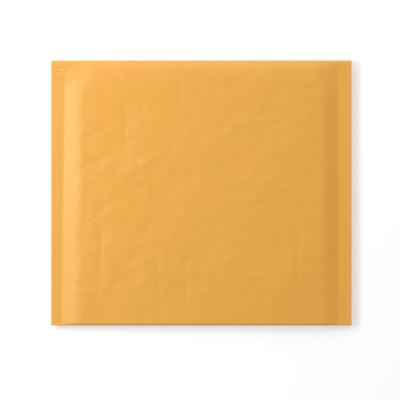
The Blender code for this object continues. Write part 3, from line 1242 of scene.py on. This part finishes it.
        outer_flap, inner_flap = self.flap(front[-1], start_inner)
        sheet.strips(outer_flap)
        sheet.strips(inner_flap, turned=True)
        sheet.strips([outer_flap[-1], inner_flap[-1]])
        self.sides(front, back, mouth_front, outer_flap, inner_flap)
        mesh = sheet.mesh("kraft_cover", shape.seam_plane)
        self.paint(mesh)
        return mesh

    def pocket(self, rows: Sequence[float], mouth: float) -> tuple[np.ndarray, np.ndarray]:
        """Makes the paper's inner faces around the lining, at half the outer faces' fineness.

        Args:
            rows: Y of the rows below the mouth.
            mouth: Y of the mouth's row.

        Returns:
            Two lines of corners at the mouth, from side to side: the front wall's, and the lip's,
            which runs along the seams on the front wall and between them on the back wall.
        """
        sheet = self.sheet
        first, last = self.seam_columns, len(self.rise) - 1 - self.seam_columns
        picked = np.unique(np.concatenate([np.arange(first, last, 2), [last]]))
        kept = sorted({*range(0, len(rows), 2), len(rows) - 1})
        fronts, backs = [], []
        for number in kept:
            line = self.row(rows[number], front=True, outer=False, columns=picked)
            fronts.append(line)
            if number == 0:
                backs.append(line)
                continue
            middle = self.row(rows[number], front=False, outer=False, columns=picked[1:-1])
            backs.append(np.concatenate([line[:1], middle, line[-1:]]))
        mouth_front = self.row(mouth, front=True, outer=False)
        inner = self.row(mouth, front=False, outer=False, columns=slice(first + 1, last))
        lip = np.concatenate([mouth_front[:first + 1], inner, mouth_front[last:]])
        sheet.strips(fronts, turned=True)
        sheet.strips(backs)
        sheet.stitch(fronts[-1], mouth_front, picked, True)
        sheet.stitch(backs[-1], lip, picked, False)
        return mouth_front, lip

    def flap(self, outer_start: np.ndarray, inner_start: np.ndarray) -> tuple[list, list]:
        """Makes the top fold and the flap behind the back wall.

        Args:
            outer_start: Corners of the front wall's last outer row.
            inner_start: Corners of its last inner row.

        Returns:
            The lines of the outer face and of the inner face, from the front wall on.
        """
        shape, sheet = self.shape, self.sheet
        x, _, outer_z = self.wall(shape.fold_start, front=True, outer=True)
        _, _, inner_z = self.wall(shape.fold_start, front=True, outer=False)
        depth = shape.flap_depth(shape.fold_start)
        outer, inner = [outer_start], [inner_start]
        for turn in np.linspace(0.0, math.pi, self.fold_rows + 1)[1:-1]:
            share = (1 - math.cos(turn)) / 2
            out_y = shape.fold_start + shape.fold_radius * math.sin(turn)
            in_y = shape.fold_start + (shape.fold_radius - shape.paper) * math.sin(turn)
            outer.append(sheet.line(x, out_y, outer_z - share * (outer_z + depth + shape.paper)))
            inner.append(sheet.line(x, in_y, inner_z - share * (inner_z + depth)))
        head_start = shape.mouth - shape.head_run
        head = np.linspace(shape.mouth, head_start, self.head_rows + 1)
        steps = int(round((head_start - shape.flap_edge) / self.flap_step))
        rest = np.linspace(head_start, shape.flap_edge, steps + 1)[1:]
        for y in (shape.fold_start, *head.tolist(), *rest.tolist()):
            part = (shape.fold_start - y) / (shape.fold_start - shape.flap_edge)
            narrow = x * (1 - shape.flap_taper * part / (shape.width / 2))
            level = -min(shape.flap_depth(y), shape.seam_plane - shape.paper)
            broad, fine = self.flap_waves
            waves = 1 + np.sin(narrow * broad + self.flap_shift) * np.sin(narrow * fine)
            curl = self.flap_cockle * part * waves
            outer.append(sheet.line(narrow, y, level - shape.paper + curl))
            inner.append(sheet.line(narrow, y, level + curl))
        return outer, inner

    def sides(
        self,
        front: Sequence[np.ndarray],
        back: Sequence[np.ndarray],
        mouth_front: np.ndarray,
        outer_flap: Sequence[np.ndarray],
        inner_flap: Sequence[np.ndarray],
    ) -> None:
        """Closes the sheet's cut edges down both sides.

        Args:
            front: Lines of the front wall's outer face.
            back: Lines of the back wall's outer face, up to the mouth.
            mouth_front: The mouth's line on the front wall's inner face.
            outer_flap: Lines of the flap's outer face.
            inner_flap: Lines of the flap's inner face.
        """
        mouth = len(back) - 1
        paper_out = [front[mouth], *outer_flap]
        paper_in = [mouth_front, *inner_flap]
        for end, turned in ((0, False), (-1, True)):
            for row in range(mouth):
                corner = [mouth_front[end]] if row + 1 == mouth else []
                ring = [front[row][end], front[row + 1][end], *corner, back[row + 1][end], back[row][end]]
                self.sheet.face(ring, turned)
            for row in range(len(paper_out) - 1):
                ring = [paper_out[row][end], paper_out[row + 1][end]]
                self.sheet.face([*ring, paper_in[row + 1][end], paper_in[row][end]], turned)

    def paint(self, mesh: bpy.types.Mesh) -> None:
        """Stores how rubbed the paper is at each corner: on its creases, its folds and its cut edges.

        Args:
            mesh: The sheet's mesh, in place.
        """
        shape = self.shape
        flat = np.empty(len(mesh.vertices) * 3)
        mesh.vertices.foreach_get("co", flat)
        x, y, z = flat.reshape(-1, 3).T
        front, back = (heights(side.drawn, x, y) for side in (self.front_relief, self.back_relief))
        drawn = np.abs(np.where(z > shape.seam_plane, front, back))
        marks = self.crease_wear * np.clip(drawn / self.worn_depth, 0.0, 1.0)

        def near(gap: np.ndarray, reach: float) -> np.ndarray:
            """Wear that fades with the gap to an edge."""
            return np.exp(-np.clip(gap, 0.0, 1.0) / reach)

        top = near(shape.height / 2 - y, self.worn_fold)
        foot = self.foot_wear * near(shape.height / 2 + y, self.worn_fold)
        edge = self.side_wear * near(shape.width / 2 - np.abs(x), self.worn_side)
        layer = mesh.attributes.new("crease", "FLOAT", "POINT")
        rubbed = np.maximum.reduce([marks, top, foot, edge])
        layer.data.foreach_set("value", rubbed.astype(np.float32))


@dataclass
class BubbleLining:
    """The bubble film, folded double inside the paper."""

    shape: MailerShape
    pocket: float = 0.0006
    drop: float = 0.0004
    side: float = 0.0060
    head: float = 0.0100
    foot: float = 0.0005
    bubbles_across: int = 12
    bubble_margin: float = 0.0007
    crown_power: float = 0.42
    seat: float = 0.00005
    spare: float = 0.00022
    segments: int = 14
    rings: int = 8
    clear_points: int = 12
    clear_share: float = 0.9
    film_columns: int = 25
    leaf_rows: int = 25
    bend_rows: int = 13

    @property
    def width(self) -> float:
        """Width of the film."""
        shape = self.shape
        return shape.width - 2 * (max(shape.seam_left_head, shape.seam_right) + self.side)

    @property
    def pitch(self) -> float:
        """Distance between bubbles in a row."""
        return self.width / (self.bubbles_across + 0.5)

    @property
    def bend_centre(self) -> float:
        """Y about which the film is bent double."""
        shape = self.shape
        return shape.foot + shape.paper + self.foot + shape.film + self.pocket / 2

    @property
    def level(self) -> float:
        """Height above the floor of the plane between the two leaves."""
        return self.shape.seam_plane - self.drop

    @property
    def half_bend(self) -> float:
        """Length of film in half the bend."""
        return math.pi / 2 * (self.pocket + self.shape.film) / 2

    @property
    def leaf(self) -> float:
        """Length of one leaf, from the bend to its head."""
        return self.shape.mouth - self.head - self.bend_centre

    @property
    def flat_length(self) -> float:
        """Length of the film laid flat."""
        return 2 * (self.leaf + self.half_bend)

    def centres(self) -> tuple[np.ndarray, np.ndarray, np.ndarray]:
        """Where the bubbles stand.

        Returns:
            X, Y, and 1 for the front leaf or -1 for the back one.
        """
        row_pitch = self.pitch * math.sqrt(3) / 2
        corner = self.pitch / math.sqrt(3)
        length = self.leaf + self.half_bend
        places = []
        for row in range(1, int((length - corner) / row_pitch) + 1):
            y = self.bend_centre + row * row_pitch - self.half_bend
            offset = 0.5 if row % 2 == 0 else 1.0
            for number in range(self.bubbles_across):
                x = -self.width / 2 + self.pitch * (number + offset)
                places.extend([(x, y, 1.0), (x, y, -1.0)])
        return tuple(np.array(places).T)

    def tall(self, x: np.ndarray, y: np.ndarray, leaf: np.ndarray, radius: float) -> np.ndarray:
        """How high each bubble stands above the film, so that it clears the paper.

        Args:
            x: X of the bubbles.
            y: Y of the bubbles.
            leaf: 1 for the front leaf or -1 for the back one.
            radius: Their radius.

        Returns:
            The heights.
        """
        shape = self.shape
        least = np.full_like(x, 1.0)
        for turn in np.linspace(0.0, 2 * math.pi, self.clear_points, endpoint=False):
            at_x = x + self.clear_share * radius * math.cos(turn)
            at_y = y + self.clear_share * radius * math.sin(turn)
            least = np.minimum(least, shape.room(at_x, at_y, leaf > 0) + leaf * self.drop)
        return least - shape.clearance - self.spare - self.pocket / 2 - shape.film + self.seat

    def dome_tree(self) -> bpy.types.NodeTree:
        """Builds the node tree that puts a bubble on each point, with its sizes as named inputs.

        Returns:
            The tree.
        """
        tree = bpy.data.node_groups.new("bubble_domes", "GeometryNodeTree")
        graph = NodeGraph(tree)
        kinds = {"Geometry": "Geometry", "Segments": "Int", "Rings": "Int"}
        kinds.update({"Crown Power": "Float", "Film": "Material"})
        for name, kind in kinds.items():
            tree.interface.new_socket(name, in_out="INPUT", socket_type=f"NodeSocket{kind}")
        tree.interface.new_socket("Geometry", in_out="OUTPUT", socket_type="NodeSocketGeometry")
        given = graph.node("NodeGroupInput").outputs
        sizes = {"Radius": 1.0, "Segments": given["Segments"], "Rings": given["Rings"]}
        ball = graph.node("GeometryNodeMeshUVSphere", sizes).outputs["Mesh"]
        place = graph.node("GeometryNodeInputPosition").outputs[0]
        parts = graph.node("ShaderNodeSeparateXYZ", {0: place}).outputs
        crown = graph.math("POWER", graph.math("MAXIMUM", parts["Z"], 0.0), given["Crown Power"])
        joined = graph.node("ShaderNodeCombineXYZ", {0: parts["X"], 1: parts["Y"], 2: crown})
        moved = {"Geometry": ball, "Position": joined.outputs[0]}
        dome = graph.node("GeometryNodeSetPosition", moved).outputs[0]
        size, turn = (
            graph.node("GeometryNodeInputNamedAttribute", {"Name": name}, data_type="FLOAT_VECTOR")
            for name in ("bubble_size", "bubble_turn")
        )
        rotation = graph.node("FunctionNodeEulerToRotation", {0: turn.outputs[0]}).outputs[0]
        spread = {"Points": given["Geometry"], "Instance": dome, "Rotation": rotation}
        spread["Scale"] = size.outputs[0]
        domes = graph.node("GeometryNodeInstanceOnPoints", spread).outputs[0]
        real = graph.node("GeometryNodeRealizeInstances", {0: domes}).outputs[0]
        dressed = graph.node("GeometryNodeSetMaterial", {"Geometry": real, "Material": given["Film"]})
        graph.node("NodeGroupOutput", {0: dressed.outputs[0]})
        return tree

    def seeds(self) -> bpy.types.Mesh:
        """Makes a point for each bubble, which holds the bubble's size and turn.

        Returns:
            The points, as a mesh.
        """
        shape = self.shape
        x, y, leaf = self.centres()
        radius = self.pitch / 2 - self.bubble_margin
        tall = self.tall(x, y, leaf, radius)
        kept = tall > 2 * shape.film
        x, y, leaf, tall = x[kept], y[kept], leaf[kept], tall[kept]
        base = self.pocket / 2 + shape.film - self.seat
        flat = np.zeros_like(x)
        points = np.stack([x, y, leaf * base + self.level], axis=1)
        sizes = np.stack([flat + radius, flat + radius, tall], axis=1)
        turns = np.stack([np.where(leaf > 0, 0.0, math.pi), flat, flat], axis=1)
        seeds = bpy.data.meshes.new("bubble_places")
        seeds.from_pydata(points.tolist(), [], [])
        for name, values in (("bubble_size", sizes), ("bubble_turn", turns)):
            layer = seeds.attributes.new(name, "FLOAT_VECTOR", "POINT")
            layer.data.foreach_set("vector", values.astype(np.float32).ravel())
        LOG.info("bubbles: %d on two leaves, pitch %.1f mm", len(x), self.pitch / MM)
        return seeds

    def domes(self, material: bpy.types.Material) -> bpy.types.Mesh:
        """Makes the mesh of all the bubbles.

        Args:
            material: Finish of the film.

        Returns:
            The bubbles, in place.
        """
        carrier = bpy.data.objects.new("bubble_places", self.seeds())
        bpy.context.scene.collection.objects.link(carrier)
        tree = self.dome_tree()
        modifier = carrier.modifiers.new("bubbles", "NODES")
        modifier.node_group = tree
        wanted = {
            "Segments": self.segments,
            "Rings": self.rings,
            "Crown Power": self.crown_power,
            "Film": material,
        }
        for item in tree.interface.items_tree:
            if item.in_out == "INPUT" and item.name in wanted:
                modifier[item.identifier] = wanted[item.name]
        graph = bpy.context.evaluated_depsgraph_get()
        mesh = bpy.data.meshes.new_from_object(carrier.evaluated_get(graph), depsgraph=graph)
        bpy.data.objects.remove(carrier)
        return mesh

    def film(self) -> bpy.types.Mesh:
        """Makes the flat film, bent double, closed, with its thickness.

        Returns:
            The mesh, in place.
        """
        sheet = SheetMesh()
        x = np.linspace(-self.width / 2, self.width / 2, self.film_columns)
        leaf = np.linspace(self.leaf + self.half_bend, self.half_bend, self.leaf_rows)
        bend = np.linspace(self.half_bend, -self.half_bend, self.bend_rows)[1:-1]
        path = np.concatenate([leaf, bend, -leaf[::-1]])
        sides = []
        for radius in (self.pocket / 2, self.pocket / 2 + self.shape.film):
            lines = []
            for along in path:
                y = self.bend_centre + abs(along) - self.half_bend
                z = math.copysign(radius, along)
                if abs(along) < self.half_bend:
                    turn = math.pi / 2 * along / self.half_bend
                    y, z = self.bend_centre - radius * math.cos(turn), radius * math.sin(turn)
                lines.append(sheet.line(x, y, z))
            sides.append(lines)
        inner, outer = sides
        sheet.strips(outer, turned=True)
        sheet.strips(inner)
        sheet.strips([outer[0], inner[0]])
        sheet.strips([inner[-1], outer[-1]])
        for end, turned in ((0, False), (-1, True)):
            for row in range(len(path) - 1):
                ring = [inner[row][end], outer[row][end], outer[row + 1][end], inner[row + 1][end]]
                sheet.face(ring, turned)
        return face_outwards(sheet.mesh("bubble_film", self.level))

    def build(self, material: bpy.types.Material) -> bpy.types.Mesh:
        """Makes the film with its bubbles as one mesh.

        Args:
            material: Finish of the film.

        Returns:
            The mesh, in place.
        """
        whole = bmesh.new()
        for part in (self.film(), self.domes(material)):
            whole.from_mesh(part)
        for face in whole.faces:
            face.material_index = 0
        mesh = bpy.data.meshes.new("bubble_lining")
        whole.to_mesh(mesh)
        whole.free()
        return mesh


@dataclass
class FlapStrip:
    """A thin strip across the flap's inner face, with soft long edges."""

    shape: MailerShape
    name: str
    edge: float
    width: float
    above: float
    thick: float
    inset: float = 0.0040
    rounding: float = 0.0006
    round_share: float = 0.35
    round_level: float = 0.85
    wander: float = 0.0
    wander_waves: Point2 = (210.0, 57.0)
    wander_shifts: Point2 = (3.0, 1.0)
    cockle: float = 0.0
    cockle_waves: Point2 = (95.0, 31.0)
    cockle_shift: float = 0.7
    columns: int = 97

    def section(self) -> list[Point2]:
        """The strip's outline across its length.

        Returns:
            For each corner, its share of the width and of the thickness.
        """
        soft = self.rounding / self.width
        near, top = self.round_share * soft, self.round_level
        upper = [(0.0, 0.5), (near, top), (soft, 1.0), (0.25, 1.0), (0.5, 1.0), (0.75, 1.0)]
        upper += [(1 - soft, 1.0), (1 - near, top)]
        return [*upper, *((1 - part, 1 - level) for part, level in upper)]

    def build(self) -> bpy.types.Mesh:
        """Makes the strip.

        Returns:
            The mesh, in place.
        """
        shape = self.shape
        foot = shape.flap_edge + self.edge
        low = self.above - shape.flap_depth(foot)
        half = shape.width / 2 - self.inset
        places = np.linspace(-half, half, self.columns)
        fast, slow = self.cockle_waves
        cockle = self.cockle * np.sin(places * fast + self.cockle_shift) * np.sin(places * slow)
        fast, slow = (places * waves for waves in self.wander_waves)
        turned, shifted = self.wander_shifts
        sheet = SheetMesh()
        lines = []
        for part, level in self.section():
            side = 2 * part - 1
            drift = self.wander * np.sin(fast + side * turned) * np.sin(slow + shifted)
            y = foot + self.width * part + drift * side
            lines.append(sheet.line(places, y, low + self.thick * level + cockle))
        sheet.strips([*lines, lines[0]])
        sheet.face([line[0] for line in lines])
        sheet.face([line[-1] for line in reversed(lines)])
        return face_outwards(sheet.mesh(self.name, shape.seam_plane))


@dataclass
class Studio:
    """The pale floor, the soft light from the top and the upper left, and the camera above."""

    shape: MailerShape
    centre: Point2 = (-0.00093, -0.00472)
    field_of_view: float = 0.2664
    camera_height: float = 1.6
    sensor_width: float = 36.0
    clip: Point2 = (0.05, 20.0)
    floor_reach: float = 4.0
    floor_level: float = -0.0002
    panel_place: Point3 = (0.01, 1.14, 0.81)
    panel_size: Point2 = (1.40, 1.40)
    panel_power: float = 7.90
    panel_tint: Colour = (1.0, 1.0, 1.0)
    key_place: Point3 = (-0.41, 0.11, 0.48)
    key_size: Point2 = (0.44, 0.24)
    key_power: float = 2.38
    key_tint: Colour = (0.910, 1.0, 0.925)
    fill: float = 0.412
    fill_tint: Colour = (1.000, 0.955, 1.000)

    def floor(self, material: bpy.types.Material) -> None:
        """Lays the floor under the pack.

        Args:
            material: Its finish.
        """
        mesh = bpy.data.meshes.new("floor")
        turns = ((-1, -1), (1, -1), (1, 1), (-1, 1))
        corners = [(x * self.floor_reach, y * self.floor_reach, self.floor_level) for x, y in turns]
        mesh.from_pydata(corners, [], [(0, 1, 2, 3)])
        mesh.materials.append(material)
        ground = bpy.data.objects.new("floor", mesh)
        bpy.context.scene.collection.objects.link(ground)
        ground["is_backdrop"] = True

    def lamp(self, name: str, place: Point3, size: Point2, power: float, tint: Colour) -> None:
        """Hangs a soft lamp that faces the pack.

        Args:
            name: Its name.
            place: Where its middle is.
            size: Its level sides' length and its other sides'.
            power: Its power in watts.
            tint: The colour of its light.
        """
        light = bpy.data.lights.new(name, "AREA")
        light.shape = "RECTANGLE"
        light.size, light.size_y = size
        light.energy = power
        light.color = tint
        lamp = bpy.data.objects.new(name, light)
        bpy.context.scene.collection.objects.link(lamp)
        lamp.location = place
        lamp.visible_camera = False
        x, y, z = place
        lamp.rotation_euler = (math.atan2(math.hypot(x, y), z), 0.0, math.atan2(y, x) + math.pi / 2)

    def world(self) -> None:
        """Makes the surroundings: white to the camera, an even fill for the light."""
        world = bpy.data.worlds.new("surroundings")
        world.use_nodes = True
        graph = NodeGraph(world.node_tree)
        even = {"Color": (*self.fill_tint, 1.0), "Strength": self.fill}
        white = {"Color": (1.0, 1.0, 1.0, 1.0), "Strength": 1.0}
        dim, bright = (graph.node("ShaderNodeBackground", light).outputs[0] for light in (even, white))
        mixed = graph.node("ShaderNodeMixShader", {0: graph.seen(), 1: dim, 2: bright})
        graph.node("ShaderNodeOutputWorld", {"Surface": mixed.outputs[0]})
        bpy.context.scene.world = world

    def camera(self) -> None:
        """Sets the camera straight above, its long side spanning the field of view."""
        lens = bpy.data.cameras.new("camera")
        lens.type = "PERSP"
        lens.sensor_width = self.sensor_width
        lens.lens = self.sensor_width * self.camera_height / self.field_of_view
        lens.clip_start, lens.clip_end = self.clip
        camera = bpy.data.objects.new("camera", lens)
        bpy.context.scene.collection.objects.link(camera)
        camera.location = (*self.centre, self.shape.seam_plane + self.camera_height)
        bpy.context.scene.camera = camera

    def build(self) -> None:
        """Sets up the floor, the lights and the camera."""
        self.floor(FloorFinish().build())
        self.lamp("panel", self.panel_place, self.panel_size, self.panel_power, self.panel_tint)
        self.lamp("key", self.key_place, self.key_size, self.key_power, self.key_tint)
        self.world()
        self.camera()
        bpy.context.scene.view_settings.view_transform = "Standard"


def main() -> None:
    """Dresses the pack: paper, lining, glue, peel strip, then the studio."""
    logging.basicConfig(level=logging.INFO, format="%(name)s: %(message)s")
    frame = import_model()
    solid_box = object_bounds()
    low, high = solid_box
    LOG.info("solids: %s", ", ".join(sorted(frame["nodes"])))
    shape = MailerShape(width=float(high[0] - low[0]), height=float(high[1] - low[1]))

    lining = BubbleLining(shape)
    front_marks = (*creases(FRONT_CREASES), *creases(SHOULDER_TICKS), *dimples(FRONT_DIMPLES))
    front = PaperRelief(
        shape,
        drawn=front_marks,
        crumples=FRONT_CRUMPLES,
        slow_waves=SLOW_WAVES,
        bubble_pitch=lining.pitch,
        bubble_mark=0.00004,
    )
    back = PaperRelief(
        shape,
        drawn=creases(BACK_CREASES),
        crumples=BACK_CRUMPLES,
        slow_waves=(),
        bubble_pitch=lining.pitch,
        bubble_mark=0.00003,
    )
    cover = show("envelope_paper", KraftCover(shape, front, back).build(), KraftFinish().build())
    settle(cover, "kraft_cover")

    film = FilmFinish().build()
    padding = show("bubble_padding", lining.build(film), film)
    settle(padding, "bubble_lining")
    LOG.info("film laid flat: %.0f x %.0f mm", lining.width / MM, lining.flat_length / MM)

    glue = FlapStrip(
        shape,
        name="glue_line",
        edge=0.0050,
        width=0.0120,
        above=shape.clearance,
        thick=shape.adhesive,
        wander=0.00025,
    )
    settle(show(glue.name, glue.build(), GlueFinish().build()), "adhesive_strip")
    peel = FlapStrip(
        shape,
        name="peel_strip",
        edge=0.0030,
        width=0.0160,
        above=2 * shape.clearance + shape.adhesive,
        thick=shape.liner,
        rounding=0.0002,
        cockle=0.00005,
    )
    settle(show(peel.name, peel.build(), ReleaseFinish().build()), "release_liner")

    Studio(shape).build()
    LOG.info("sizes written")


if __name__ == "__main__":
    main()
